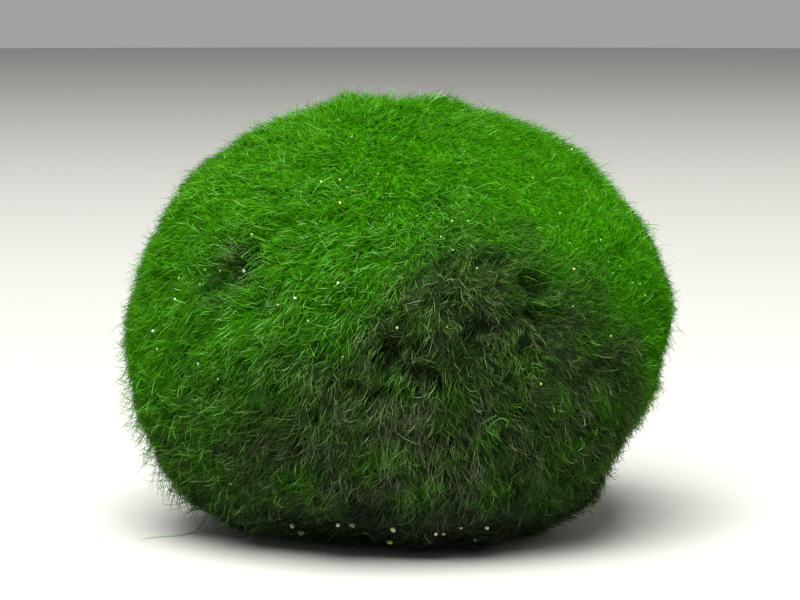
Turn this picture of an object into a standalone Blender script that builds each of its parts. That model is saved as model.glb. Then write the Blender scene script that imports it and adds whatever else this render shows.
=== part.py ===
"""One marimo moss ball: a tangle of green algal filaments that grew as a single ball.

The solid reaches to the tips of the filaments. It is a little wider than deep, and lower than both, and it
rests on a small flat spot. Metres, +Z up, the side seen first faces -Y, and the origin is the middle of the
flat spot, under the middle of the ball.
"""

import math
import random

import bmesh
import bpy
import numpy as np
from mathutils import Vector, noise

# Overall size, from tip to tip of the filaments
WIDTH = 0.0750
DEPTH = 0.0712
HEIGHT = 0.0592

# The egg that the ball is grown on, before the lumps: half of each side, and how high its middle stands
HALF_WIDTH = 0.0368
HALF_DEPTH = 0.0350
HALF_HEIGHT = 0.0312
MIDDLE_HEIGHT = 0.0277

# Each edge of the first icosahedron is cut this many times, which gives 8,820 triangles
EDGE_CUTS = 20

# Two corners of the foot's outline nearer than this become one
FOOT_CORNER_GAP = 0.0006

# Broad forms of the ball. Each has the way to it from the middle (right, back, up), how far it reaches
# round the ball in degrees, and how far it stands out, or in if that is negative.
BROAD_FORMS = (
    # the swollen foot at the left, where the ball leans on the ground
    ((-0.88, -0.15, -0.46), 27.0, 0.0036),
    ((-0.66, 0.05, -0.75), 16.0, 0.0022),
    # the foot's front edge at the left, set back
    ((-0.30, -0.50, -0.80), 18.0, -0.0009),
    # the foot at the right
    ((0.60, 0.00, -0.80), 15.0, 0.0017),
    # the high left shoulder, and the left flank
    ((-0.78, -0.10, 0.54), 24.0, 0.0017),
    ((-0.96, -0.05, 0.10), 24.0, 0.0010),
    # the top, highest a little left of the middle
    ((-0.26, 0.00, 0.96), 18.0, 0.0009),
    ((0.22, -0.05, 0.97), 14.0, -0.0005),
    # the right flank, flatter above and below its widest level
    ((0.88, -0.10, 0.42), 16.0, -0.0007),
    ((0.98, -0.10, -0.14), 12.0, -0.0010),
    ((0.98, 0.05, 0.18), 10.0, 0.0007),
    # the flank over the right foot, pulled in
    ((0.84, -0.10, -0.52), 20.0, -0.0019),
    # the brow that the front filaments fan out from
    ((0.20, -0.95, 0.30), 24.0, 0.0016),
    # the brow runs on to the left, over the combed flank
    ((-0.40, -0.86, 0.10), 22.0, 0.0008),
    # the shaded front under the brow, a little hollow
    ((0.22, -0.92, -0.32), 26.0, -0.0013),
    # the gap right of the fan
    ((0.55, -0.80, 0.10), 12.0, -0.0007),
    # the back, with a low saddle between two swellings
    ((0.45, 0.85, 0.25), 26.0, 0.0010),
    ((-0.50, 0.82, -0.10), 24.0, 0.0012),
    ((-0.05, 0.95, 0.20), 12.0, -0.0008),
)

# Uneven growth at the size of a fingertip
UNEVEN_SIZE = 0.0110
UNEVEN_HEIGHT = 0.0004

# The hollow at the upper left of the front: its place right of and above the middle, how far its sides
# reach, and its depth
HOLLOW_RIGHT = -0.0212
HOLLOW_ABOVE = 0.0072
HOLLOW_HALF_WIDTH = 0.0048
HOLLOW_HALF_HEIGHT = 0.0067
HOLLOW_DEPTH = 0.0034

# The lip that hangs over the hollow from its upper right
LIP_RIGHT = -0.0172
LIP_ABOVE = 0.0108
LIP_REACH = 0.0048
LIP_HEIGHT = 0.0011

# The crease through the hollow, as points right of and above the middle
CREASE_PATH = (
    (-0.0135, 0.0158),
    (-0.0168, 0.0122),
    (-0.0200, 0.0082),
    (-0.0222, 0.0050),
    (-0.0252, 0.0040),
)
CREASE_HALF_WIDTH = 0.0026
CREASE_DEPTH = 0.0012

# Locks: bunches of filaments that lie over one another like short tongues, combed away from the brow.
# A lock rises slowly from its root, is widest at its top, and falls off in the tip share of its length.
LOCK_COUNT = 78
LOCK_SEED = 11
LOCK_SHAKE = 0.12
LOCK_LENGTH = (0.0120, 0.0175)
LOCK_HALF_WIDTH = (0.0039, 0.0057)
LOCK_HEIGHT = (0.0008, 0.0012)
LOCK_TIP_SHARE = 0.32
LOCK_TIP_NARROWING = 0.35
LOCK_TIP_STEEPNESS = 1.6

# The comb: away from the top of the brow, and down
BROW_TOP = Vector((0.16, -0.86, 0.42))
BROW_PULL = 0.9
DROOP = 1.0

# Colour of the deep green filaments, seen as one mass
GREEN = (0.055, 0.165, 0.012, 1.0)
GREEN_ROUGHNESS = 0.92


def clear_scene():
    """Remove whatever the scene holds."""
    for item in list(bpy.data.objects):
        bpy.data.objects.remove(item, do_unlink=True)


def moss_material():
    """Dull deep green."""
    material = bpy.data.materials.new("moss_green")
    material.use_nodes = True
    shader = material.node_tree.nodes["Principled BSDF"]
    shader.inputs["Base Color"].default_value = GREEN
    shader.inputs["Roughness"].default_value = GREEN_ROUGHNESS
    shader.inputs["Metallic"].default_value = 0.0
    material.diffuse_color = GREEN
    return material


def start_sphere():
    """An icosahedron cut finely and blown up to a unit sphere."""
    bm = bmesh.new()
    bmesh.ops.create_icosphere(bm, subdivisions=1, radius=1.0)
    bmesh.ops.subdivide_edges(bm, edges=bm.edges[:], cuts=EDGE_CUTS, use_grid_fill=True)
    bmesh.ops.triangulate(bm, faces=bm.faces[:])
    for vert in bm.verts:
        vert.co.normalize()
    return bm


def smooth_fall(distance):
    """1 at distance 0, and 0 from distance 1 on, with no corner."""
    inside = np.clip(1.0 - distance, 0.0, 1.0)
    return inside * inside * (3.0 - 2.0 * inside)


def broad_height(ways):
    """How far the broad forms stand out at each unit way from the middle."""
    height = np.zeros(len(ways))
    for way, reach, rise in BROAD_FORMS:
        centre = np.array(Vector(way).normalized())
        angle = np.degrees(np.arccos(np.clip(ways @ centre, -1.0, 1.0)))
        height += rise * np.exp(-((angle / reach) ** 2))
    return height


def uneven_height(points):
    """Soft unevenness of the growth."""
    return UNEVEN_HEIGHT * np.array([noise.noise(Vector(point) / UNEVEN_SIZE) for point in points])


def distance_to_path(right, above, path):
    """Shortest distance from each point of the front to a line of points."""
    nearest = np.full(len(right), 1.0)
    for start, end in zip(path[:-1], path[1:]):
        run = np.array(end) - np.array(start)
        from_start = np.stack([right - start[0], above - start[1]], axis=1)
        share = np.clip(from_start @ run / (run @ run), 0.0, 1.0)
        gap = from_start - share[:, None] * run
        nearest = np.minimum(nearest, np.hypot(gap[:, 0], gap[:, 1]))
    return nearest


def hollow_height(points):
    """The hollow of the front, the lip over it and the crease through it."""
    right = points[:, 0]
    above = points[:, 2]
    front = points[:, 1] < 0.0
    across = np.hypot((right - HOLLOW_RIGHT) / HOLLOW_HALF_WIDTH, (above - HOLLOW_ABOVE) / HOLLOW_HALF_HEIGHT)
    pit = HOLLOW_DEPTH * smooth_fall(across)
    crease = CREASE_DEPTH * smooth_fall(distance_to_path(right, above, CREASE_PATH) / CREASE_HALF_WIDTH)
    lip_gap = np.hypot(right - LIP_RIGHT, above - LIP_ABOVE) / LIP_REACH
    lip = LIP_HEIGHT * smooth_fall(lip_gap)
    return np.where(front, lip - np.maximum(pit, crease), 0.0)


def spread_ways(count):
    """Ways from the middle, spread evenly round the ball."""
    turn = math.pi * (3.0 - math.sqrt(5.0))
    for index in range(count):
        up = 1.0 - 2.0 * (index + 0.5) / count
        ring = math.sqrt(1.0 - up * up)
        yield Vector((ring * math.cos(turn * index), ring * math.sin(turn * index), up))


def comb_way(way):
    """The way that the filaments lie at a place: away from the brow, and down."""
    pull = (way - BROW_TOP.normalized()) * BROW_PULL + Vector((0.0, 0.0, -DROOP))
    along = pull - way * pull.dot(way)
    return along.normalized()


def one_lock(points, way, draw):
    """Height of one lock at each point; its top is on the ball's surface at the given way."""
    along = comb_way(way)
    across = way.cross(along)
    length = draw.uniform(*LOCK_LENGTH)
    half_width = draw.uniform(*LOCK_HALF_WIDTH)
    rise = draw.uniform(*LOCK_HEIGHT)
    offset = points - np.array([way.x * HALF_WIDTH, way.y * HALF_DEPTH, way.z * HALF_HEIGHT])
    forward = offset @ np.array(along)
    sideways = offset @ np.array(across)
    behind = np.clip(-forward / (length * (1.0 - LOCK_TIP_SHARE)), 0.0, None)
    ahead = np.clip(forward / (length * LOCK_TIP_SHARE), 0.0, None)
    narrow = 1.0 - LOCK_TIP_NARROWING * np.clip(ahead, 0.0, 1.0)
    far = np.hypot(sideways / (half_width * narrow), np.maximum(behind, ahead ** LOCK_TIP_STEEPNESS))
    same_side = np.abs(offset @ np.array(way)) < length
    return np.where(same_side, rise * smooth_fall(far), 0.0)


def lock_height(points):
    """Height of the locks, with the higher one kept where two meet."""
    draw = random.Random(LOCK_SEED)
    height = np.zeros(len(points))
    for way in spread_ways(LOCK_COUNT):
        shake = Vector([draw.uniform(-LOCK_SHAKE, LOCK_SHAKE) for axis in range(3)])
        height = np.maximum(height, one_lock(points, (way + shake).normalized(), draw))
    return height


def grow(bm):
    """Move the vertices of the unit sphere out to the surface of the ball."""
    bm.verts.ensure_lookup_table()
    ways = np.array([vert.co[:] for vert in bm.verts])
    half_sides = np.array([HALF_WIDTH, HALF_DEPTH, HALF_HEIGHT])
    points = ways * half_sides
    normals = ways / half_sides
    normals /= np.linalg.norm(normals, axis=1)[:, None]
    height = broad_height(ways) + uneven_height(points) + hollow_height(points) + lock_height(points)
    grown = points + normals * height[:, None]
    grown[:, 2] += MIDDLE_HEIGHT
    for vert, place in zip(bm.verts, grown):
        vert.co = place


def cut_foot(bm):
    """Cut the ball flat where it rests, and close it with one flat face."""
    geometry = bm.verts[:] + bm.edges[:] + bm.faces[:]
    bmesh.ops.bisect_plane(bm, geom=geometry, plane_co=(0.0, 0.0, 0.0), plane_no=(0.0, 0.0, 1.0), clear_inner=True)
    rim = [vert for vert in bm.verts if vert.is_boundary]
    bmesh.ops.remove_doubles(bm, verts=rim, dist=FOOT_CORNER_GAP)
    rim_edges = [edge for edge in bm.edges if edge.is_boundary]
    bmesh.ops.contextual_create(bm, geom=rim_edges)


def fit_to_size(bm):
    """Bring the ball to its stated sides, over the origin, with the foot at height zero."""
    places = np.array([vert.co[:] for vert in bm.verts])
    low = places.min(axis=0)
    high = places.max(axis=0)
    middle_of_foot = np.array([(low[0] + high[0]) / 2.0, (low[1] + high[1]) / 2.0, low[2]])
    scale = np.array([WIDTH, DEPTH, HEIGHT]) / (high - low)
    for vert, place in zip(bm.verts, (places - middle_of_foot) * scale):
        vert.co = place


def build_moss_ball(collection):
    """The whole ball as one closed body."""
    bm = start_sphere()
    grow(bm)
    cut_foot(bm)
    fit_to_size(bm)
    bmesh.ops.recalc_face_normals(bm, faces=bm.faces[:])
    for face in bm.faces:
        face.smooth = True
    mesh = bpy.data.meshes.new("moss_ball")
    bm.to_mesh(mesh)
    bm.free()
    mesh.materials.append(moss_material())
    ball = bpy.data.objects.new("moss_ball", mesh)
    collection.objects.link(ball)
    return ball


def main():
    """Clear the scene and build the ball."""
    clear_scene()
    collection = bpy.data.collections.new("marimo_moss_ball")
    bpy.context.scene.collection.children.link(collection)
    build_moss_ball(collection)


main()
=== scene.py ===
"""Marimo moss ball: the felt, the filaments that grow from it, stray filaments and stuck sand grains.

Each filament is a thin closed strand, rooted in the felt, that follows the surface of the CAD ball and ends
near it. Lengths are in metres, and angles in degrees unless a comment says otherwise.
"""

import math

import bmesh
import bpy
import numpy as np
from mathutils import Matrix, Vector, noise
from mathutils.bvhtree import BVHTree
from mathutils.kdtree import KDTree


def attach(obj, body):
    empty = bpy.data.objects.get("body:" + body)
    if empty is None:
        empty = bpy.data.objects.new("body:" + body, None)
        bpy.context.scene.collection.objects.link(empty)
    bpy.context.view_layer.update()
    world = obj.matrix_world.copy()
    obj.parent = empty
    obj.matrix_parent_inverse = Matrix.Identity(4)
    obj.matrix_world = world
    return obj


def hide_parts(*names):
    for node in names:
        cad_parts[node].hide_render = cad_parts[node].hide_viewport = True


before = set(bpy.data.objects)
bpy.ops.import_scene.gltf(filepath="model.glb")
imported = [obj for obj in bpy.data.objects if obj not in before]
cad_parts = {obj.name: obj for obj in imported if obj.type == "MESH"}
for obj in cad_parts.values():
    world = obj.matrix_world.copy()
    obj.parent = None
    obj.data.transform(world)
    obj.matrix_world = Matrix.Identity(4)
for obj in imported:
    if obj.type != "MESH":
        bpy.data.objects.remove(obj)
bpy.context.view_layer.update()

MM = 0.001

# Camera, as the photo was taken
CAMERA_AIM = Vector((0.2 * MM, 0.0, 31.2 * MM))
CAMERA_DISTANCE = 0.350
CAMERA_TILT = math.radians(7.0)
CAMERA_WAY = Vector((0.0, -math.cos(CAMERA_TILT), math.sin(CAMERA_TILT)))
CAMERA_PLACE = CAMERA_AIM + CAMERA_WAY * CAMERA_DISTANCE
FOCAL_PIXELS = 2617.0
IMAGE_WIDTH = 800
IMAGE_HEIGHT = 600
SENSOR_WIDTH = 36.0

# Middle of the ball, which ways and heights are measured from
MIDDLE = np.array([0.0, 0.0, 29.6 * MM])
UP = np.array([0.0, 0.0, 1.0])
LEVEL = np.array([1.0, 1.0, 0.0])

# Lowest height of anything, so that nothing sinks into the ground
LOWEST = 0.12 * MM
# Places under this height are on the flat foot
FOOT_TOP = 0.01 * MM
# Corners nearer than this are one, and how often the corner normals are softened
WELD = 0.001 * MM
SOFT_ROUNDS = 4

# A number that is too small to matter, which keeps a division by zero away
TINY = 1e-6


# Small helpers


def unit(vector):
    """The vector or vectors at length 1."""
    vector = np.asarray(vector, dtype=float)
    return vector / (np.linalg.norm(vector, axis=-1, keepdims=True) + TINY * MM)


def smooth_step(low, high, value):
    """0 up to low, 1 from high on, smooth between."""
    share = np.clip((value - low) / (high - low), 0.0, 1.0)
    return share * share * (3.0 - 2.0 * share)


def near(ways, way, reach):
    """1 at a way from the middle, falling to about a third at reach degrees from it."""
    angle = np.degrees(np.arccos(np.clip(ways @ unit(way), -1.0, 1.0)))
    return np.exp(-((angle / reach) ** 2))


def soft_noise(places, size, shift=0.0):
    """Smooth noise from about -1 to 1 with lumps of a given size."""
    offset = Vector((shift, shift * 0.7, -shift))
    return np.array([noise.noise(Vector(place) / size + offset) for place in places])


def turned(first, second, angle):
    """The first way turned towards the second by an angle in radians."""
    return first * np.cos(angle)[..., None] + second * np.sin(angle)[..., None]


# Surface of the ball

GRID_ROWS = 240
GRID_COLUMNS = 480


def ball_surface():
    """The CAD ball's welded corners, triangles and softened corner normals."""
    bm = bmesh.new()
    bm.from_mesh(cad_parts["moss_ball"].data)
    bmesh.ops.remove_doubles(bm, verts=bm.verts[:], dist=WELD)
    bmesh.ops.triangulate(bm, faces=bm.faces[:])
    bm.normal_update()
    bm.verts.ensure_lookup_table()
    corners = np.array([vert.co[:] for vert in bm.verts])
    normals = np.array([vert.normal[:] for vert in bm.verts])
    faces = np.array([[vert.index for vert in face.verts] for face in bm.faces])
    edges = np.array([[vert.index for vert in edge.verts] for edge in bm.edges])
    tree = BVHTree.FromBMesh(bm)
    bm.free()
    for step in range(SOFT_ROUNDS):
        total = normals.copy()
        np.add.at(total, edges[:, 0], normals[edges[:, 1]])
        np.add.at(total, edges[:, 1], normals[edges[:, 0]])
        normals = unit(total)
    return corners, faces, normals, tree


def make_radius_grid(tree):
    """How far the surface lies from the middle, for ways in even steps of tilt and turn."""
    grid = np.zeros((GRID_ROWS, GRID_COLUMNS))
    start = Vector(MIDDLE)
    for row in range(GRID_ROWS):
        tilt = math.pi * (row + 0.5) / GRID_ROWS
        for column in range(GRID_COLUMNS):
            turn = 2.0 * math.pi * column / GRID_COLUMNS
            level = math.sin(tilt)
            way = Vector((level * math.cos(turn), level * math.sin(turn), math.cos(tilt)))
            grid[row, column] = tree.ray_cast(start, way)[3]
    return grid


CORNERS, FACES, NORMALS, BALL_TREE = ball_surface()
RADIUS_GRID = make_radius_grid(BALL_TREE)


def surface_radius(ways):
    """How far the surface lies from the middle along each way."""
    row = np.arccos(np.clip(ways[..., 2], -1.0, 1.0)) / math.pi * GRID_ROWS - 0.5
    column = np.arctan2(ways[..., 1], ways[..., 0]) / (2.0 * math.pi) % 1.0 * GRID_COLUMNS
    row = np.clip(row, 0.0, GRID_ROWS - 1.001)
    top = row.astype(int)
    left = column.astype(int) % GRID_COLUMNS
    right = (left + 1) % GRID_COLUMNS
    down, across = row - top, column - np.floor(column)
    upper = RADIUS_GRID[top, left] * (1.0 - across) + RADIUS_GRID[top, right] * across
    lower = RADIUS_GRID[top + 1, left] * (1.0 - across) + RADIUS_GRID[top + 1, right] * across
    return upper * (1.0 - down) + lower * down


def seated(points, heights):
    """The points moved in or out from the middle, to their heights over the surface."""
    ways = unit(points - MIDDLE)
    return MIDDLE + ways * (surface_radius(ways) + heights)[..., None]


def scatter(count, draw):
    """Random places spread evenly over the ball, and the way out of the ball there."""
    first, second, third = (CORNERS[FACES[:, side]] for side in range(3))
    areas = np.linalg.norm(np.cross(second - first, third - first), axis=1)
    pick = draw.choice(len(FACES), count, p=areas / areas.sum())
    along = np.sqrt(draw.random(count))[:, None]
    across = draw.random(count)[:, None]
    shares = np.hstack([1.0 - along, along * (1.0 - across), along * across])
    places = np.einsum("ij,ijk->ik", shares, CORNERS[FACES[pick]])
    normals = unit(np.einsum("ij,ijk->ik", shares, NORMALS[FACES[pick]]))
    normals[places[:, 2] < FOOT_TOP] = -UP
    return places, normals


def photo_ray(pixel_x, pixel_y):
    """Where the camera stands, and the way it sees a pixel of the photo."""
    right = Vector((1.0, 0.0, 0.0))
    up = right.cross(-CAMERA_WAY)
    across, down = pixel_x - IMAGE_WIDTH / 2, pixel_y - IMAGE_HEIGHT / 2
    way = -CAMERA_WAY * FOCAL_PIXELS + right * across - up * down
    return CAMERA_PLACE, way.normalized()


def seen_at(pixel):
    """The place on the ball that the photo shows at a pixel and the way out there, or None twice."""
    start, way = photo_ray(*pixel)
    place, normal, face, distance = BALL_TREE.ray_cast(start, way)
    if place is None:
        return None, None
    return np.array(place), np.array(normal)


def on_ball(pixel):
    """The place on the ball at a pixel of the photo: just beyond the ball's edge, the nearest place to it."""
    place, normal = seen_at(pixel)
    if place is None:
        start, way = photo_ray(*pixel)
        passing = start + way * (Vector(MIDDLE) - start).dot(way)
        place, normal, face, distance = BALL_TREE.find_nearest(passing)
    return np.array(place), np.array(normal)


def away_from(places, pixel):
    """How far each place is from the place on the ball at a pixel of the photo."""
    return np.linalg.norm(places - on_ball(pixel)[0], axis=-1)


# Comb of the filaments: away from the top of the brow, and farther from it also down
BROW_TOP = (0.25, -0.93, 0.28)
DROOP = 0.45
DROOP_CLEAR = 28.0
# Underneath they lie outward: how far a way points down where that starts and where it is full
UNDER_START = -0.55
UNDER_FULL = -0.85
# Where they flow otherwise, over the top and up the right shoulder: the flow, its middle and its reach
FLOWS = (
    ((1.1, -1.2, -0.5), (0.25, -0.35, 0.90), 31.0),
    ((0.35, 0.0, 2.0), (0.80, -0.45, 0.42), 21.0),
)
# Broad and small swirls: their size, and how far they turn the filaments in radians
SWIRLS = ((11.0 * MM, 0.38), (3.5 * MM, 0.34))
# Below this strength of the comb filaments lie every way, so that no bald star shows
CLEAR_COMB = 0.26


def comb_field(places, normals):
    """The way that filaments lie at each place along the surface, and how mixed up they are there."""
    ways = unit(places - MIDDLE)
    droop = DROOP * (1.0 - near(ways, BROW_TOP, DROOP_CLEAR))
    pull = ways - unit(BROW_TOP) - UP * droop[:, None]
    for flow, way, reach in FLOWS:
        pull += np.array(flow) * near(ways, way, reach)[:, None]
    under = smooth_step(UNDER_START, UNDER_FULL, ways[:, 2])[:, None]
    pull = pull * (1.0 - under) + unit(ways * LEVEL) * under
    pull -= normals * np.sum(pull * normals, axis=1, keepdims=True)
    mixed = smooth_step(CLEAR_COMB, 0.0, np.linalg.norm(pull, axis=1))
    comb = unit(pull)
    turn = sum(most * soft_noise(places, size, 3.0) for size, most in SWIRLS)
    return turned(comb, np.cross(normals, comb), turn), mixed


# Upper edge of the dirt and of the painted shade under the brow and on the lower half: azimuth from the front
# to the right, height over the middle in millimetres, and how many millimetres it takes to fade
DIRT_AND_SHADE_EDGE = (
    (-180, -17, 6.0),
    (-80, -14, 8.0),
    (-47, -6.5, 9.0),
    (-20, -1.5, 8.0),
    (-8, 4, 7.0),
    (6, 13, 7.5),
    (20, 15, 7.5),
    (36, 9.5, 7.5),
    (45, 5.5, 7.0),
    (58, 1, 7.0),
    (65, -7, 7.0),
    (72, -14, 7.0),
    (85, -19, 6.0),
    (180, -17, 6.0),
)
DIRT_AND_SHADE_RAGGEDNESS = 4.0 * MM
# How much of the dirt and painted shade is gone in the greener patches
GREEN_PATCH = 0.45
# The dull ground of the hollow: points of the photo, how far it reaches from each and how much dirt and
# painted shade it holds
HOLLOW_PIXELS = ((233, 260), (212, 285))
HOLLOW_REACH = 3.7 * MM
HOLLOW_DIRT_AND_SHADE = 0.75
# Between which shares of their reach the hollow and a pit grow from nothing to their full
HOLLOW_EDGE = (1.2, 0.5)
PIT_EDGE = (1.1, 0.45)
# Grey silt low down, darkened with painted shade at the foot: the heights over the middle between which it
# grows to its full
SILT_AND_SHADE_TOP = -19.5 * MM
SILT_AND_SHADE_FULL = -26.0 * MM
SILT_AND_SHADE_RAGGEDNESS = 3.0 * MM
# Where brown and silt with its painted shade are strongest, low on the front, and how much of them is left on
# the far side
BROWN_WAY = (0.10, -0.88, -0.42)
BROWN_REACH = 46.0
BROWN_LEAST = 0.12
SILT_AND_SHADE_LEAST = 0.30
# How strong the gaps between tufts, with their painted shade, are in clean fur, and how much weaker they are
# in soft fur
CLEAN_GAPS = 0.35
SOFT_CLOSING = 0.8
# The noise that each of these follows: the size of its lumps and its shift
DIRT_AND_SHADE_NOISE = (6.0 * MM, 9.0)
PATCH_NOISE = (4.5 * MM, 21.0)
SILT_AND_SHADE_NOISE = (5.0 * MM, 45.0)
GAP_NOISE = (2.3 * MM, 33.0)

# Pits between the filaments, sunk and darkened with painted shade: a point of the photo, how far the pit
# reaches in millimetres, and its depth as a share of the deepest
PITS = (
    # the hollow at the upper left of the front
    ((245, 251), 1.9, 1.0),
    ((246, 261), 1.9, 1.0),
    ((239, 269), 1.9, 1.0),
    ((245, 277), 0.9, 0.7),
    ((218, 267), 1.6, 0.8),
    ((211, 284), 2.0, 1.0),
    ((206, 293), 1.5, 0.9),
    ((232, 281), 1.7, 1.0),
    ((225, 274), 1.6, 0.8),
    ((198, 301), 1.0, 0.6),
    ((217, 243), 1.3, 0.5),
    ((260, 234), 1.3, 0.7),
    ((270, 229), 1.0, 0.6),
    ((283, 221), 1.2, 0.6),
    # the front
    ((534, 281), 1.8, 0.9),
    ((545, 292), 1.8, 1.0),
    ((541, 312), 2.0, 1.0),
    ((551, 324), 1.9, 1.0),
    ((549, 338), 1.5, 0.8),
    ((451, 315), 1.5, 0.7),
    ((487, 331), 1.4, 0.7),
    ((527, 345), 1.4, 0.7),
    ((442, 263), 1.3, 0.6),
    ((487, 261), 1.4, 0.6),
    ((506, 259), 1.3, 0.6),
    ((391, 349), 1.8, 0.9),
    ((393, 366), 1.7, 0.9),
    ((424, 380), 2.0, 0.9),
    ((376, 398), 1.6, 0.6),
    ((512, 440), 1.5, 0.6),
    ((352, 392), 1.5, 0.6),
)
PIT_DEPTH = 2.8 * MM
# How much shorter filaments are in a pit
PIT_CUT = 0.65


def azimuth_of(places):
    """Degrees round the ball from the front towards the right."""
    return np.degrees(np.arctan2(places[:, 0], -places[:, 1]))


def hollow_share(places):
    """1 on the dull ground of the hollow, and 0 outside it."""
    away = np.min([away_from(places, pixel) for pixel in HOLLOW_PIXELS], axis=0)
    return smooth_step(*HOLLOW_EDGE, away / HOLLOW_REACH)


def dirt_and_shade_share(places):
    """How much dirt and painted shade the filaments hold, from 0 to 1: most low down, on the shaded front and
    in the hollow.
    """
    edge_azimuth, edge_height, edge_fade = np.array(DIRT_AND_SHADE_EDGE).T
    azimuth = azimuth_of(places)
    line = np.interp(azimuth, edge_azimuth, edge_height) * MM
    line += DIRT_AND_SHADE_RAGGEDNESS * soft_noise(places, *DIRT_AND_SHADE_NOISE)
    fade = np.interp(azimuth, edge_azimuth, edge_fade) * MM
    stained_and_shaded = smooth_step(-1.0, 1.0, (line - places[:, 2] + MIDDLE[2]) / fade)
    stained_and_shaded *= 1.0 - GREEN_PATCH * smooth_step(0.0, 0.45, soft_noise(places, *PATCH_NOISE))
    return np.maximum(stained_and_shaded, HOLLOW_DIRT_AND_SHADE * hollow_share(places))


def brown_share(places):
    """How much of the dirt and painted shade is brown or silt: all of it low on the front and in the hollow.
    """
    share = BROWN_LEAST + (1.0 - BROWN_LEAST) * near(unit(places - MIDDLE), BROWN_WAY, BROWN_REACH)
    return np.maximum(share, hollow_share(places))


def silt_and_shade_share(places):
    """How much grey silt and painted shade the filaments hold, from 0 to 1: most at the foot."""
    height = places[:, 2] - MIDDLE[2] + SILT_AND_SHADE_RAGGEDNESS * soft_noise(places, *SILT_AND_SHADE_NOISE)
    most = SILT_AND_SHADE_LEAST + (1.0 - SILT_AND_SHADE_LEAST) * brown_share(places)
    return smooth_step(SILT_AND_SHADE_TOP, SILT_AND_SHADE_FULL, height) * most


def pit_share(places):
    """How deep the pits are and how dark their painted shade is at each place: 0 beyond their edges, and 1 in
    the deepest.
    """
    share = np.zeros(places.shape[:-1])
    for pixel, reach, depth in PITS:
        away = away_from(places, pixel) / (reach * MM)
        share = np.maximum(share, depth * smooth_step(*PIT_EDGE, away))
    return share


def gap_share(places, dirt_and_shade, soft):
    """1 in the gaps between tufts, darkened with painted shade: most on the dirty, shaded front and fewest
    where the fur is soft.
    """
    strength = (CLEAN_GAPS + (1.0 - CLEAN_GAPS) * dirt_and_shade) * (1.0 - SOFT_CLOSING * soft)
    return strength * smooth_step(0.10, 0.45, soft_noise(places, *GAP_NOISE))


# How filaments grow in each part of the ball: stray is how far they turn from the comb in degrees, length is
# in millimetres, clump is how far tips gather, curl is in radians and soft is how even the filaments are
REGION_NAMES = ("way", "reach", "weight", "stray", "length", "clump", "curl", "soft")
REGION_ROWS = (
    ((0.10, -0.10, 1.00), 40, 1.2, 36, 3.2, 0.24, 1.2, 0.35),
    ((-0.62, -0.50, 0.60), 28, 1.1, 32, 3.0, 0.28, 1.1, 0.25),
    ((-0.40, -0.90, 0.10), 30, 1.6, 17, 4.1, 0.40, 0.6, 0.0),
    ((0.68, -0.58, 0.45), 30, 1.4, 30, 2.4, 0.15, 0.9, 0.95),
    ((0.95, -0.30, -0.10), 30, 1.0, 24, 2.8, 0.26, 0.8, 0.6),
    ((0.22, -0.95, -0.10), 32, 1.5, 17, 4.0, 0.42, 0.7, 0.0),
    ((-0.65, -0.62, -0.45), 28, 1.0, 20, 3.7, 0.34, 0.8, 0.50),
    ((0.00, 0.00, -1.00), 50, 0.8, 28, 3.2, 0.34, 0.9, 0.4),
    ((0.00, 1.00, 0.10), 65, 0.9, 26, 3.4, 0.36, 0.9, 0.15),
    ((-0.97, 0.10, 0.10), 38, 0.8, 28, 3.0, 0.32, 0.9, 0.55),
)
REGIONS = [dict(zip(REGION_NAMES, row)) for row in REGION_ROWS]


def region_values(places):
    """What the regions say at each place, blended from one to the next."""
    ways = unit(places - MIDDLE)
    weights = np.array([part["weight"] * near(ways, part["way"], part["reach"]) for part in REGIONS]) + TINY
    weights /= weights.sum(axis=0)
    names = ("stray", "length", "clump", "curl", "soft")
    values = {name: weights.T @ np.array([part[name] for part in REGIONS]) for name in names}
    values["stray"] = np.radians(values["stray"])
    values["length"] *= MM
    return values


# Strands

# Steps of a strand's path, and the middle of each as a share of the path
STEPS = 12
MIDWAY = (np.arange(STEPS) + 0.5) / STEPS
# Filaments of one region differ in length from the first to the second share of what the region says
LENGTH_SPREAD = (0.62, 1.18)
# How much filaments bend one way and how much they wave, in radians where the curl is 1
BEND_SPREAD = 1.4
WAVE_SPREAD = 0.7
# How far filaments of the hollow lie every way
HOLLOW_MIXED = 0.6
# The higher, the nearer to their tips filaments gather
LATE_GATHER = 1.3
# How much lower tips are in the gaps between tufts
GAP_DEPTH = 1.0 * MM
# Small tufts that filaments gather into towards their tips
TUFTS = 3600
# How far under the surface a strand starts
ROOT_DEPTH = 2.0 * MM
# How early a strand comes out: the lower, the flatter it lies after; soft ones stand up more
EARLY_RISE = 0.55
SOFT_RISE = 0.25


def make_tufts():
    """Small tufts all over the ball, and what the filaments of each share."""
    draw = np.random.default_rng(101)
    places, normals = scatter(TUFTS, draw)
    region = region_values(places)
    tree = KDTree(TUFTS)
    for index, place in enumerate(places):
        tree.insert(place, index)
    tree.balance()
    return {
        "tree": tree,
        "places": places,
        "turn": draw.normal(0.0, 1.0, TUFTS) * region["stray"],
        "rise": draw.uniform(-0.55, 0.35, TUFTS) * (1.0 - 0.6 * region["soft"]) * MM,
        "tone": draw.random(TUFTS),
    }


TUFT = make_tufts()


def keep_above_ground(points):
    """Filaments that would sink into the ground lie on it, pushed outward."""
    sunk = np.clip(LOWEST - points[..., 2], 0.0, None)
    moved = points + unit(points * LEVEL) * (sunk * 0.6)[..., None]
    moved[..., 2] = np.maximum(points[..., 2], LOWEST)
    return moved


def walked(starts, runs, length):
    """Points of paths: the starts, and then an even step along each of their ways in turn."""
    steps = runs * (length / STEPS)[:, None, None]
    return np.cumsum(np.concatenate([starts[:, None], steps], axis=1), axis=1)


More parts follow.
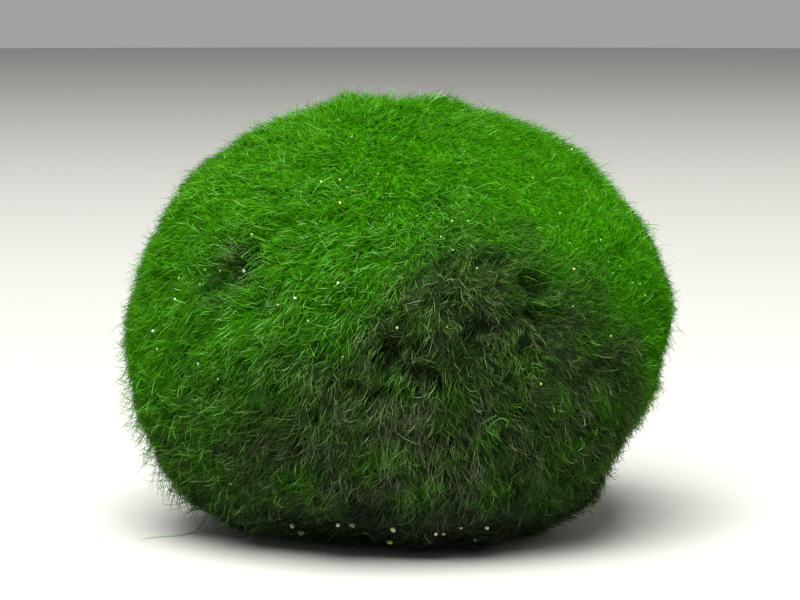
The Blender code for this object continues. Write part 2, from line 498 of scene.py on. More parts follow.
def combed_paths(places, normals, draw, kind):
    """Points of filaments that follow the surface, at every step, and the tuft and the gap of each."""
    count = len(places)
    region = region_values(places)
    tuft = np.array([TUFT["tree"].find(place)[1] for place in places])
    gap = gap_share(places, dirt_and_shade_share(places), region["soft"])
    comb, mixed = comb_field(places, normals)
    side = np.cross(normals, comb)
    length = region["length"] * draw.uniform(*LENGTH_SPREAD, count) * kind["length"]
    length *= 1.0 - PIT_CUT * pit_share(places)
    heading = TUFT["turn"][tuft] + draw.normal(0.0, 1.0, count) * (0.16 + 0.75 * region["stray"])
    mixed = np.maximum(mixed, HOLLOW_MIXED * hollow_share(places))
    heading += draw.uniform(-math.pi, math.pi, count) * mixed
    bend = draw.normal(0.0, BEND_SPREAD, count) * region["curl"]
    wave = draw.normal(0.0, WAVE_SPREAD, count) * region["curl"]
    turn = heading[:, None] + bend[:, None] * (MIDWAY - 0.4) + wave[:, None] * np.sin(2.0 * math.pi * MIDWAY)
    points = walked(places, turned(comb[:, None], side[:, None], turn), length)
    gather = TUFT["places"][tuft] - places
    shares = np.arange(STEPS + 1) / STEPS
    pull = (region["clump"] * kind["clump"])[:, None] * shares[None] ** LATE_GATHER
    points += gather[:, None, :] * pull[..., None]
    tip = TUFT["rise"][tuft] + draw.normal(kind["tip"], kind["tip_spread"], count) * MM - gap * GAP_DEPTH
    rise = shares[None] ** (EARLY_RISE + SOFT_RISE * region["soft"])[:, None]
    heights = (tip + ROOT_DEPTH)[:, None] * rise - ROOT_DEPTH
    heights -= pit_share(points) * PIT_DEPTH
    return keep_above_ground(seated(points, heights)), tuft, gap


def strand_faces(rings):
    """Triangles of one closed three-sided strand, and where each corner lies in its cell of the map."""
    triangles = []
    rows = [(ring + 1) / (rings + 1) for ring in range(rings)]
    for side in range(3):
        left, right = side / 3.0, (side + 1) / 3.0
        root = (0, (left + right) / 2.0, 0.0)
        tip = (1 + 3 * rings, (left + right) / 2.0, 1.0)
        here = [(1 + 3 * ring + side, left, row) for ring, row in enumerate(rows)]
        there = [(1 + 3 * ring + (side + 1) % 3, right, row) for ring, row in enumerate(rows)]
        triangles.append((root, there[0], here[0]))
        for ring in range(rings - 1):
            triangles.append((here[ring], there[ring], there[ring + 1]))
            triangles.append((here[ring], there[ring + 1], here[ring + 1]))
        triangles.append((here[-1], there[-1], tip))
    triangles = np.array(triangles)
    return triangles[..., 0].astype(int), triangles[..., 1:]


def strand_corners(points, rings, radii, draw):
    """Corners of each strand: its root, its rings of three at given steps of its path, and its tip."""
    count = len(points)
    corners = np.zeros((count, 2 + 3 * len(rings), 3))
    corners[:, 0] = points[:, 0]
    corners[:, -1] = points[:, -1]
    stops = [0, *rings, STEPS]
    roll = draw.normal(0.0, 1.0, (count, 3))
    for ring in range(len(rings)):
        run = unit(points[:, stops[ring + 2]] - points[:, stops[ring]])
        first = unit(np.cross(run, roll))
        second = np.cross(run, first)
        for side in range(3):
            turn = 2.0 * math.pi * side / 3.0
            out = first * math.cos(turn) + second * math.sin(turn)
            corners[:, 1 + 3 * ring + side] = points[:, stops[ring + 1]] + out * radii[ring][:, None]
    return corners


def by_corner(values):
    """Values at the root, the rings and the tip of each strand, given again for each corner of a ring."""
    return np.concatenate([values[:, :1], np.repeat(values[:, 1:-1], 3, axis=1), values[:, -1:]], axis=1)


def add_values(mesh, name, values):
    """A number for each corner, which the materials read."""
    layer = mesh.attributes.new(name, "FLOAT", "POINT")
    layer.data.foreach_set("value", np.ascontiguousarray(values, dtype=np.float32).reshape(-1))


def add_cells(mesh, count, spots):
    """A map with one square cell for each strand."""
    margin = 0.14
    cells = math.ceil(math.sqrt(count))
    numbers = np.arange(count)
    base = np.stack([numbers % cells, numbers // cells], axis=1)
    inner = margin + spots.reshape(-1, 2) * (1.0 - 2.0 * margin)
    places = (base[:, None, :] + inner[None]).reshape(-1) / cells
    layer = mesh.uv_layers.new(name="OFBake")
    layer.data.foreach_set("uv", places.astype(np.float32))


def strand_mesh(name, corners, rings, values):
    """One mesh of many strands, with a map and their values: one for each strand, or one for each ring."""
    count, per_strand = corners.shape[:2]
    faces, spots = strand_faces(len(rings))
    starts = (np.arange(count) * per_strand)[:, None, None]
    all_faces = (faces[None] + starts).reshape(-1, 3)
    mesh = bpy.data.meshes.new(name)
    mesh.vertices.add(count * per_strand)
    mesh.vertices.foreach_set("co", corners.reshape(-1))
    mesh.loops.add(all_faces.size)
    mesh.loops.foreach_set("vertex_index", all_faces.reshape(-1).astype(np.int32))
    mesh.polygons.add(len(all_faces))
    mesh.polygons.foreach_set("loop_start", np.arange(0, all_faces.size, 3, dtype=np.int32))
    mesh.update(calc_edges=True)
    mesh.polygons.foreach_set("use_smooth", np.ones(len(all_faces), dtype=bool))
    along = np.array([[0.0, *(ring / STEPS for ring in rings), 1.0]])
    add_values(mesh, "along", np.repeat(by_corner(along), count, axis=0))
    for key, value in values.items():
        by_ring = value if value.ndim == 2 else np.repeat(value[:, None], len(rings) + 2, axis=1)
        add_values(mesh, key, by_corner(by_ring))
    add_cells(mesh, count, spots)
    return mesh


def put(name, data):
    """A new object for the data, in the scene."""
    piece = bpy.data.objects.new(name, data)
    bpy.context.scene.collection.objects.link(piece)
    return piece


def link(name, mesh, material):
    """An object for the mesh, which rides with the ball."""
    mesh.materials.append(material)
    piece = put(name, mesh)
    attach(piece, "root")
    return piece


# Filaments

# Pieces of filaments: three sectors of long ones and three of short ones, and how many are in each
SECTORS = ("front", "right", "left")
LONG = {
    "count": 8192,
    "rings": (4, 8),
    "radii": ((0.030, 0.042), (0.024, 0.035)),
    "length": 1.0,
    "clump": 0.9,
    "tip": -0.02,
    "tip_spread": 0.28,
    "tone": 0.08,
    "shade": 0.0,
}
SHORT = {
    "count": 32768,
    "rings": (6,),
    "radii": ((0.034, 0.050),),
    "length": 0.80,
    "clump": 0.8,
    "tip": -0.28,
    "tip_spread": 0.28,
    "tone": -0.03,
    # the short ones lie under the long ones, so they get a little painted shade
    "shade": 0.06,
}
# How much thinner filaments are where the fur is soft
SOFT_THINNING = 0.25
# Pale hazy spots of painted sheen: points of the photo, how far each reaches in millimetres, and how pale it
# is
PALE_SHEEN_SPOTS = (
    ((456, 108), 1.8, 0.35),
    ((482, 117), 1.8, 0.35),
    ((462, 152), 1.8, 0.35),
    ((458, 186), 1.8, 0.35),
    ((566, 138), 1.8, 0.30),
    ((594, 166), 1.8, 0.30),
    ((610, 182), 1.8, 0.30),
    ((405, 462), 10.0, 0.16),
)
# Where the fur is soft, filaments are much alike: their tone, and how near to it they come
SOFT_TONE = 0.35
SOFT_LIKENESS = 0.88
# How much of a filament's tone comes from its tuft, how much is its own, and how few of them are pale with
# painted sheen
TUFT_TONE = 0.30
OWN_TONE = 0.80
FEW_PALE = 1.7
# How much neighbours differ in dirt and painted shade, and how far round to the left the first sector starts
DIRT_AND_SHADE_SPREAD = 0.20
SECTOR_START = 60.0


def strand_tones(places, draw, tuft):
    """How bright and pale each filament is, from 0 to 1; the palest carry painted sheen."""
    tone = TUFT_TONE * TUFT["tone"][tuft] + OWN_TONE * draw.random(len(places)) ** FEW_PALE
    tone += (SOFT_TONE - tone) * SOFT_LIKENESS * region_values(places)["soft"]
    for pixel, reach, sheen_paleness in PALE_SHEEN_SPOTS:
        tone += sheen_paleness * smooth_step(reach * MM, 0.0, away_from(places, pixel))
    return np.clip(tone, 0.0, 1.0)


def strand_dirt_and_shade(places, draw):
    """How much dirt and painted shade each filament holds, from 0 to 1: neighbours differ, most where it
    fades.
    """
    return np.clip(dirt_and_shade_share(places) + draw.normal(0.0, DIRT_AND_SHADE_SPREAD, len(places)), 0.0, 1.0)


def make_filaments(label, kind, seed, material):
    """Three pieces of filaments, one for each sector of the ball."""
    draw = np.random.default_rng(seed)
    places, normals = scatter(kind["count"] * len(SECTORS), draw)
    order = np.argsort((azimuth_of(places) + SECTOR_START) % 360.0, kind="stable")
    places, normals = places[order], normals[order]
    points, tuft, gap = combed_paths(places, normals, draw, kind)
    thin = (1.0 - SOFT_THINNING * region_values(places)["soft"]) * MM
    radii = [draw.uniform(low, high, len(places)) * thin for low, high in kind["radii"]]
    corners = strand_corners(points, kind["rings"], radii, draw)
    stops = [0, *kind["rings"], STEPS]
    depth = 1.0 - 0.5 * np.array([stops]) / STEPS
    shade = np.maximum(pit_share(points[:, stops]), gap[:, None] * depth)
    values = {
        "tone": strand_tones(places, draw, tuft) + kind["tone"],
        "dirt_and_shade": strand_dirt_and_shade(places, draw),
        "silt_and_shade": silt_and_shade_share(places),
        "brown": brown_share(places),
        "shade": np.maximum(shade, kind["shade"]),
    }
    for index, sector in enumerate(SECTORS):
        part = slice(index * kind["count"], (index + 1) * kind["count"])
        part_values = {key: value[part] for key, value in values.items()}
        mesh = strand_mesh(f"{label}_{sector}", corners[part], kind["rings"], part_values)
        piece = link(f"{label}_{sector}", mesh, material)


# Thin hairs that stand out of the ball all over, which make its edge fuzzy
HALO_COUNT = 4000
HALO_RINGS = (4, 8)
HALO_RADII = ((0.030, 0.042), (0.024, 0.034))
HALO_LENGTH = (1.2, 3.0)
HALO_TONE = (0.30, 0.92)
# How steeply they stand up at their roots and at their tips, and how far under the surface they start
HALO_LIFTS = ((40.0, 80.0), (-15.0, 45.0))
HALO_ROOT = 0.7 * MM
# Where the hairs are many and long, low on the left: their way, their reach and how much longer they are
LOOSE_WAY = (-0.80, -0.30, -0.50)
LOOSE_REACH = 26.0
LOOSE_LENGTH = 0.7


def make_halo(material):
    """Fine curled hairs that stand out of the ball, more and longer ones low on the left."""
    draw = np.random.default_rng(21)
    places, normals = scatter(HALO_COUNT * 3, draw)
    loose = near(unit(places - MIDDLE), LOOSE_WAY, LOOSE_REACH)
    order = np.argsort(draw.random(len(places)) / (0.35 + loose) + (places[:, 2] < 2.0 * MM) * 10.0)
    places, normals, loose = (part[order[:HALO_COUNT]] for part in (places, normals, loose))
    count = len(places)
    comb, mixed = comb_field(places, normals)
    side = np.cross(normals, comb)
    length = draw.uniform(*HALO_LENGTH, count) * (1.0 + LOOSE_LENGTH * loose) * MM
    heading = draw.normal(0.0, 0.7, count) + draw.uniform(-math.pi, math.pi, count) * mixed
    bend = draw.normal(0.0, 1.8, count) * region_values(places)["curl"]
    first_lift, last_lift = (np.radians(draw.uniform(*lifts, count))[:, None] for lifts in HALO_LIFTS)
    lift = first_lift + (last_lift - first_lift) * MIDWAY
    flat = turned(comb[:, None], side[:, None], heading[:, None] + bend[:, None] * MIDWAY)
    points = walked(places - normals * HALO_ROOT, turned(flat, normals[:, None], lift), length)
    points = keep_above_ground(points)
    radii = [draw.uniform(low, high, count) * MM for low, high in HALO_RADII]
    corners = strand_corners(points, HALO_RINGS, radii, draw)
    values = {
        "tone": draw.uniform(*HALO_TONE, count),
        "dirt_and_shade": strand_dirt_and_shade(places, draw) * (1.0 - 0.5 * loose),
        "silt_and_shade": silt_and_shade_share(places),
        "brown": brown_share(places),
        "shade": pit_share(places),
    }
    piece = link("halo", strand_mesh("halo", corners, HALO_RINGS, values), material)


# Single filaments that the photo shows: the pixels each one passes, from its root to its tip
STRAY_PIXELS = (
    # curls and loops on the top
    ((352, 100), (349, 91), (354, 86), (359, 88), (358, 94)),
    ((346, 99), (344, 92), (348, 88), (352, 90)),
    ((370, 98), (368, 90), (372, 86), (378, 88), (379, 93)),
    ((362, 97), (363, 90), (367, 87)),
    ((391, 100), (389, 91), (386, 86)),
    ((391, 98), (393, 89), (397, 85)),
    ((389, 99), (391, 92), (390, 86)),
    # clusters along the top right edge
    ((427, 99), (435, 92), (444, 94)),
    ((423, 98), (431, 91), (440, 92)),
    ((430, 100), (440, 96), (446, 98)),
    ((434, 99), (441, 92), (443, 90)),
    ((465, 105), (469, 99), (474, 99)),
    ((487, 110), (495, 105), (502, 108)),
    ((483, 110), (491, 106), (500, 110)),
    ((508, 119), (518, 113), (528, 114)),
    ((506, 120), (517, 116), (526, 117)),
    ((512, 119), (520, 115), (524, 112)),
    ((532, 127), (540, 123), (546, 122)),
    ((536, 130), (542, 125), (547, 126)),
    ((551, 138), (563, 132), (574, 134)),
    ((555, 141), (566, 135), (576, 137)),
    ((549, 137), (560, 131), (570, 132)),
    ((568, 149), (576, 146), (585, 148)),
    ((571, 152), (580, 147), (585, 151)),
    ((585, 163), (598, 161), (608, 162)),
    ((584, 160), (593, 157), (600, 158)),
    ((594, 173), (601, 172), (606, 169)),
    ((600, 177), (610, 180), (619, 184)),
    ((603, 183), (612, 185), (620, 184)),
    ((598, 173), (607, 177), (612, 179)),
    ((608, 181), (615, 176), (618, 173)),
    ((616, 196), (626, 191), (634, 190)),
    ((619, 199), (627, 195), (632, 197)),
    ((614, 193), (621, 188), (625, 187)),
    ((627, 213), (636, 208), (643, 207)),
    ((630, 216), (638, 211), (643, 212)),
    ((644, 239), (650, 234), (654, 232)),
    ((655, 257), (662, 253), (667, 250)),
    ((664, 269), (673, 263), (680, 260)),
    ((662, 265), (670, 260), (674, 258)),
    # left edge
    ((278, 114), (276, 107), (274, 102)),
    ((293, 108), (294, 101), (292, 95)),
    ((264, 124), (259, 119), (255, 117)),
    ((135, 285), (127, 280), (122, 282)),
    ((129, 310), (121, 305), (117, 309)),
    ((145, 462), (138, 470), (139, 478)),
    ((160, 470), (152, 480), (153, 488)),
    ((176, 484), (168, 492), (160, 491)),
    # hairs that lie across the front
    ((533, 302), (541, 304), (552, 308)),
    ((535, 333), (541, 338), (545, 347)),
    ((487, 432), (492, 421), (500, 416), (508, 419), (504, 428)),
    ((482, 426), (489, 417), (497, 413)),
    ((394, 432), (405, 438), (418, 443)),
    ((582, 438), (583, 446), (576, 449)),
    ((587, 478), (592, 483), (598, 483)),
    ((563, 457), (569, 463), (575, 463)),
    ((476, 187), (487, 183), (500, 185)),
    ((472, 189), (480, 196), (490, 201)),
    ((545, 181), (556, 177), (566, 179)),
    ((521, 190), (531, 184), (540, 181)),
    ((310, 195), (321, 184), (333, 178)),
    ((440, 462), (444, 474), (440, 486)),
    ((197, 455), (206, 450), (214, 449)),
    ((222, 462), (226, 468), (232, 467)),
)
# Pale filaments of the hollow's lip, which reach out over it
LIP_PIXELS = (
    ((262, 250), (253, 255), (246, 263)),
    ((264, 257), (255, 263), (247, 272)),
    ((262, 265), (253, 271), (244, 280)),
    ((258, 273), (249, 278), (239, 284)),
    ((259, 243), (251, 248), (243, 256)),
    ((256, 261), (248, 265), (240, 272)),
    ((254, 269), (246, 274), (237, 280)),
    ((265, 262), (257, 268), (250, 277)),
    ((260, 255), (252, 261), (245, 266)),
    ((261, 270), (254, 275), (246, 283)),
    ((250, 277), (240, 281), (230, 288)),
    ((254, 247), (246, 253), (240, 259)),
)
# A long filament that lies on the ground to the left of the foot
GROUND_PIXELS = ((199, 530), (184, 535), (170, 536), (153, 537), (137, 540))
STRAY_LIFT = 0.35 * MM
# How much farther away a filament may be at a pixel than at the one before
STRAY_STEP = 0.9 * MM
STRAY_RINGS = tuple(range(1, STEPS))
STRAY_RADIUS = 0.040 * MM
STRAY_TAPER = 0.45
# How much of the dirt and painted shade around them they hold
STRAY_DIRT_AND_SHADE = 0.7
# How the lip's filaments differ, and the one on the ground
LIP_THICKNESS = 0.75
LIP_DARKER = 0.06
GROUND_THICKNESS = 2.0
GROUND_DIRT_AND_SHADE = 0.2


def smooth_course(points):
    """Even steps along a soft curve near the points, from the first to the last."""
    points = np.array(points)
    for rounds in range(3):
        early = points[:-1] * 0.75 + points[1:] * 0.25
        late = points[:-1] * 0.25 + points[1:] * 0.75
        between = np.stack([early, late], axis=1).reshape(-1, 3)
        points = np.concatenate([points[:1], between, points[-1:]])
    reach = np.concatenate([[0.0], np.cumsum(np.linalg.norm(np.diff(points, axis=0), axis=1))])
    steps = np.linspace(0.0, reach[-1], STEPS + 1)
    return np.stack([np.interp(steps, reach, points[:, axis]) for axis in range(3)], axis=1)


def stray_course(pixels, hugs):
    """The path of a filament that passes the pixels and starts in the ball.

    One that hugs the ball follows its surface, and keeps its depth beyond the ball's edge. One that doesn't
    reaches straight out over it.
    """
    course = []
    depth = CAMERA_DISTANCE
    for index, pixel in enumerate(pixels):
        start, way = photo_ray(*pixel)
        place, normal = seen_at(pixel) if index else on_ball(pixel)
        here = depth if place is None else (Vector(place) - start).length
        if place is None or (index and (not hugs or here > depth + STRAY_STEP)):
            depth = min(here, depth + STRAY_STEP) if hugs else depth
            place = np.array(start + way * depth)
        else:
            depth = here
            place = place + normal * (STRAY_LIFT if index else -STRAY_LIFT)
        course.append(place)
    return smooth_course(course)


def ground_course(pixels):
    """The path of a filament that comes out at the foot of the ball and lies on the ground."""
    course = []
    for pixel in pixels:
        start, way = photo_ray(*pixel)
        course.append(np.array(start + way * ((LOWEST + STRAY_RADIUS - start.z) / way.z)))
    foot = BALL_TREE.find_nearest(Vector(course[0]))[0]
    return smooth_course([np.array(foot), *course])


def make_strays(material):
    """Single filaments where the photo shows them."""
    draw = np.random.default_rng(22)
    courses = [stray_course(pixels, True) for pixels in STRAY_PIXELS]
    courses += [stray_course(pixels, False) for pixels in LIP_PIXELS]
    courses.append(ground_course(GROUND_PIXELS))
    points = keep_above_ground(np.array(courses))
    count = len(points)
    on_lip = slice(len(STRAY_PIXELS), len(STRAY_PIXELS) + len(LIP_PIXELS))
    thick = draw.uniform(0.75, 1.15, count) * STRAY_RADIUS
    thick[on_lip] *= LIP_THICKNESS
    thick[-1] *= GROUND_THICKNESS
    tone = draw.uniform(0.80, 1.0, count)
    tone[on_lip] -= LIP_DARKER
    dirt_and_shade = STRAY_DIRT_AND_SHADE * dirt_and_shade_share(points[:, 0])
    dirt_and_shade[-1] = GROUND_DIRT_AND_SHADE
    radii = [thick * (1.0 - STRAY_TAPER * ring / STEPS) for ring in STRAY_RINGS]
    corners = strand_corners(points, STRAY_RINGS, radii, draw)
    values = {
        "tone": tone,
        "dirt_and_shade": dirt_and_shade,
        "silt_and_shade": np.zeros(count),
        "brown": brown_share(points[:, 0]),
        "shade": np.zeros(count),
    }
    mesh = strand_mesh("stray_filaments", corners, STRAY_RINGS, values)
    piece = link("stray_filaments", mesh, material)


# Grains and specks that the photo shows on the ball: pixel, size in millimetres and colour
GRAIN_COLOURS = ("white", "pale", "cream", "yellow", "orange", "grey")
GRAINS = (
    ((292, 526), 0.75, "cream"),
    ((301, 533), 1.05, "grey"),
    ((338, 525), 0.75, "white"),
    ((352, 525), 0.90, "grey"),
    ((393, 530), 0.80, "cream"),
    ((390, 542), 0.85, "yellow"),
    ((231, 484), 0.50, "grey"),
    ((280, 519), 0.50, "grey"),
    ((436, 534), 0.55, "white"),
    ((444, 534), 0.50, "cream"),
    ((461, 528), 0.50, "cream"),
    ((487, 528), 0.70, "white"),
    ((475, 540), 0.50, "grey"),
    ((244, 271), 0.62, "grey"),
    ((295, 298), 0.50, "white"),
    ((338, 283), 0.45, "white"),
    ((252, 235), 0.55, "yellow"),
    ((340, 203), 0.50, "yellow"),
    ((321, 182), 0.46, "pale"),
    ((340, 180), 0.42, "yellow"),
    ((352, 137), 0.42, "pale"),
    ((354, 191), 0.36, "orange"),
    ((347, 187), 0.25, "pale"),
    ((378, 174), 0.38, "yellow"),
    ((153, 331), 0.48, "white"),
    ((175, 299), 0.34, "white"),
    ((179, 278), 0.33, "yellow"),
    ((200, 284), 0.26, "yellow"),
    ((205, 270), 0.34, "yellow"),
    ((220, 271), 0.30, "yellow"),
    ((157, 349), 0.38, "pale"),
    ((198, 364), 0.42, "pale"),
    ((218, 379), 0.28, "cream"),
    ((220, 320), 0.25, "pale"),
    ((225, 157), 0.34, "pale"),
    ((293, 182), 0.32, "orange"),
    ((278, 305), 0.36, "cream"),
    ((301, 279), 0.34, "orange"),
    ((308, 321), 0.38, "yellow"),
    ((399, 207), 0.26, "yellow"),
    ((417, 216), 0.24, "pale"),
    ((444, 219), 0.24, "pale"),
    ((452, 221), 0.42, "pale"),
    ((468, 221), 0.34, "pale"),
    ((494, 219), 0.32, "orange"),
    ((441, 237), 0.36, "yellow"),
    ((453, 250), 0.30, "pale"),
    ((477, 268), 0.34, "pale"),
    ((452, 280), 0.26, "pale"),
    ((397, 328), 0.44, "yellow"),
    ((447, 327), 0.36, "orange"),
    ((541, 384), 0.42, "yellow"),
    ((574, 269), 0.52, "yellow"),
    ((573, 306), 0.28, "pale"),
    ((611, 336), 0.34, "pale"),
    ((586, 191), 0.34, "pale"),
    ((560, 213), 0.30, "pale"),
    ((558, 227), 0.26, "pale"),
    ((533, 178), 0.32, "yellow"),
    ((601, 240), 0.36, "pale"),
    ((570, 243), 0.26, "pale"),
    ((609, 262), 0.26, "pale"),
    ((620, 266), 0.26, "pale"),
    ((613, 273), 0.24, "pale"),
    ((633, 283), 0.24, "pale"),
    ((640, 284), 0.26, "pale"),
    ((645, 295), 0.30, "pale"),
    ((572, 150), 0.36, "cream"),
    ((343, 357), 0.40, "orange"),
)
# Grains out of the photo's sight, sand low round the foot and then specks higher up: how many, the heights
# between which they lie, their sizes in millimetres and how much of the row of colours they span
HIDDEN_GRAINS = (
    (46, 0.8 * MM, 7.0 * MM, (0.45, 1.0), 1.0),
    (60, 7.0 * MM, 1.0, (0.28, 0.5), 0.7),
)
# They are the first of many scattered places that lie far enough back
SCATTERED = 4000
HIDDEN_FROM = -8.0 * MM
# A grain's shape: radius before it is stretched, how much it is, its flat faces and how deep they are cut
GRAIN_RADIUS = 0.37
GRAIN_STRETCH = 0.35
GRAIN_CUTS = 9
CUT_DEPTHS = (0.62, 0.95)


def grain_lump(bm, tone_layer, place, size, tone, draw):
    """One uneven faceted grain, half sunk between the filaments; its size is its longest way across."""
    made = bmesh.ops.create_icosphere(bm, subdivisions=2, radius=GRAIN_RADIUS)["verts"]
    stretch = unit(draw.normal(0.0, 1.0, 3))
    cuts = unit(draw.normal(0.0, 1.0, (GRAIN_CUTS, 3)))
    depths = draw.uniform(*CUT_DEPTHS, GRAIN_CUTS) * GRAIN_RADIUS
    middle = place.copy()
    middle[2] = max(middle[2], size * 0.5 + LOWEST)
    for vert in made:
        corner = np.array(vert.co)
        for cut, depth in zip(cuts, depths):
            over = corner @ cut - depth
            corner = corner - cut * max(over, 0.0)
        corner = corner + stretch * (corner @ stretch) * GRAIN_STRETCH
        vert.co = Vector(middle + corner * size)
        vert[tone_layer] = tone


def make_grains(material):
    """Sand grains and pale specks caught between the filaments."""
    draw = np.random.default_rng(31)
    mesh = bpy.data.meshes.new("grains")
    bm = bmesh.new()
    tone_layer = bm.verts.layers.float.new("tone")
    for pixel, size, colour in GRAINS:
        tone = GRAIN_COLOURS.index(colour) / (len(GRAIN_COLOURS) - 1)
        grain_lump(bm, tone_layer, on_ball(pixel)[0], size * MM, tone, draw)
    places, normals = scatter(SCATTERED, draw)
    places = places[places[:, 1] > HIDDEN_FROM]
    for count, low, high, sizes, tones in HIDDEN_GRAINS:
        fitting = places[(places[:, 2] > low) & (places[:, 2] < high)]
        for place in fitting[:count]:
            size, tone = draw.uniform(*sizes) * MM, draw.random() * tones
            grain_lump(bm, tone_layer, place, size, tone, draw)
    bm.to_mesh(mesh)
    bm.free()
    link("sand_grains", mesh, material)


# Felt

# How deep the felt lies where the fur is soft and where it isn't, and how much deeper in gaps
FELT_DEPTH_SOFT = 0.7 * MM
FELT_DEPTH_DEEP = 1.5 * MM
FELT_DEPTH_GAP = 0.5 * MM
# The size of its small lumps and how high they are, and its lowest height
FELT_LUMP = 1.6 * MM
FELT_LUMP_HEIGHT = 0.2 * MM
FELT_LOWEST = 0.9 * MM


def make_felt(material):
    """The dense felt under the loose filaments, which shows between them."""
    mesh = bpy.data.meshes.new("felt")
    soft = region_values(CORNERS)["soft"]
    gap = gap_share(CORNERS, dirt_and_shade_share(CORNERS), soft)
    depth = FELT_DEPTH_DEEP + (FELT_DEPTH_SOFT - FELT_DEPTH_DEEP) * soft
    depth += FELT_DEPTH_GAP * gap + PIT_DEPTH * pit_share(CORNERS)
    places = CORNERS - NORMALS * depth[:, None]
    mesh.from_pydata([tuple(place) for place in places], [], [tuple(int(i) for i in face) for face in FACES])
    bm = bmesh.new()
    bm.from_mesh(mesh)
    bmesh.ops.subdivide_edges(bm, edges=bm.edges[:], cuts=1, use_grid_fill=True, smooth=0.0)
    bmesh.ops.triangulate(bm, faces=bm.faces[:])
    bm.normal_update()
    for vert in bm.verts:
        vert.co += vert.normal * noise.noise(vert.co / FELT_LUMP) * FELT_LUMP_HEIGHT
        vert.co.z = max(vert.co.z, FELT_LOWEST)
    for face in bm.faces:
        face.smooth = True
    bm.to_mesh(mesh)
    bm.free()
    corners = np.array([vert.co[:] for vert in mesh.vertices])
    dirt_and_shade = dirt_and_shade_share(corners)
    soft = region_values(corners)["soft"]
    add_values(mesh, "dirt_and_shade", dirt_and_shade)
    add_values(mesh, "silt_and_shade", silt_and_shade_share(corners))
    add_values(mesh, "soft", soft)
    add_values(mesh, "shade", np.maximum(gap_share(corners, dirt_and_shade, soft), pit_share(corners)))
    piece = link("felt", mesh, material)
    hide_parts("moss_ball")


# Materials


def add_node(tree, kind, **inputs):
    """A node with values set on its inputs by name."""
    node = tree.nodes.new(kind)
    for name, value in inputs.items():
        node.inputs[name.replace("_", " ")].default_value = value
    return node


def add_ramp(tree, source, stops):
    """A colour ramp read from the source, with stops of place and colour."""
    ramp = tree.nodes.new("ShaderNodeValToRGB")
    elements = ramp.color_ramp.elements
    while len(elements) < len(stops):
        elements.new(0.5)
    for element, (place, colour) in zip(elements, stops):
        element.position = place
        element.color = (*colour, 1.0)
    tree.links.new(source, ramp.inputs["Fac"])
    return ramp.outputs["Color"]


def add_attribute(tree, name):
    """The value that a mesh holds under a name."""
    node = tree.nodes.new("ShaderNodeAttribute")
    node.attribute_name = name
    return node.outputs["Fac"]


def plug(tree, value, socket):
    """Set the socket to a number, or link another socket to it."""
    if isinstance(value, (int, float)):
        socket.default_value = value
    else:
        tree.links.new(value, socket)


def add_math(tree, operation, first, second):
    """What an operation makes of two sockets or numbers."""
    node = tree.nodes.new("ShaderNodeMath")
    node.operation = operation
    for socket, value in zip(node.inputs, (first, second)):
        plug(tree, value, socket)
    return node.outputs["Value"]


def add_mix(tree, share, first, second, blend="MIX"):
    """Two colours mixed by a share, or blended another way."""
    node = tree.nodes.new("ShaderNodeMix")
    node.data_type = "RGBA"
    node.blend_type = blend
    for name, value in (("Factor", share), ("A", first), ("B", second)):
        plug(tree, value, node.inputs[name])
    return node.outputs["Result"]


def add_product(tree, first, second):
    """One colour times another."""
    return add_mix(tree, 1.0, first, second, "MULTIPLY")


def add_bump(tree, shader, height, strength, distance):
    """Fine relief on the shader, from a height."""
    bump = add_node(tree, "ShaderNodeBump", Strength=strength, Distance=distance)
    tree.links.new(height, bump.inputs["Height"])
    tree.links.new(bump.outputs["Normal"], shader.inputs["Normal"])


def add_noise(tree, size, detail=3.0, shift=0.0):
    """Noise in the ball's own space, with lumps of a given size."""
    spots = tree.nodes.new("ShaderNodeTexCoord")
    moved = add_node(tree, "ShaderNodeMapping", Location=(shift, shift, shift))
    node = add_node(tree, "ShaderNodeTexNoise", Scale=1.0 / size, Detail=detail, Roughness=0.55)
    tree.links.new(spots.outputs["Object"], moved.inputs["Vector"])
    tree.links.new(moved.outputs["Vector"], node.inputs["Vector"])
    return node.outputs["Fac"]


def add_threads(tree, size, width, shift):
    """1 along thin curly threads and 0 between them: they run where a noise crosses its middle value."""
    away = add_math(tree, "SUBTRACT", add_noise(tree, size, 1.0, shift), 0.5)
    away = add_math(tree, "ABSOLUTE", away, 0.0)
    return add_ramp(tree, away, ((0.0, (1.0, 1.0, 1.0)), (width, (0.0, 0.0, 0.0))))


def new_material(name):
    """A material with its tree and shader."""
    material = bpy.data.materials.new(name)
    material.use_nodes = True
    tree = material.node_tree
    return material, tree, tree.nodes["Principled BSDF"]


# Colours of filaments by their tone: most are near the middle ones, and a few are pale with painted sheen
CLEAN_TONES = (
    (0.00, (0.016, 0.108, 0.0006)),
    (0.40, (0.032, 0.182, 0.0012)),
    (0.75, (0.078, 0.300, 0.0090)),
    (1.00, (0.185, 0.490, 0.1300)),
)
# The olive and brown colours are for filaments that are dirty and darkened with painted shade
OLIVE_TONES = (
    (0.00, (0.015, 0.035, 0.0070)),
    (0.40, (0.036, 0.080, 0.0130)),
    (0.75, (0.092, 0.162, 0.0400)),
    (1.00, (0.220, 0.290, 0.1200)),
)
BROWN_TONES = (
    (0.00, (0.021, 0.028, 0.0150)),
    (0.40, (0.052, 0.064, 0.0340)),
    (0.75, (0.122, 0.143, 0.0820)),
    (1.00, (0.240, 0.270, 0.1600)),
)
# Grey silt colours, darkened with painted shade at the foot
SILT_AND_SHADE_TONES = (
    (0.00, (0.012, 0.014, 0.0120)),
    (0.40, (0.024, 0.027, 0.0240)),
    (0.75, (0.048, 0.053, 0.0460)),
    (1.00, (0.105, 0.115, 0.0950)),
)
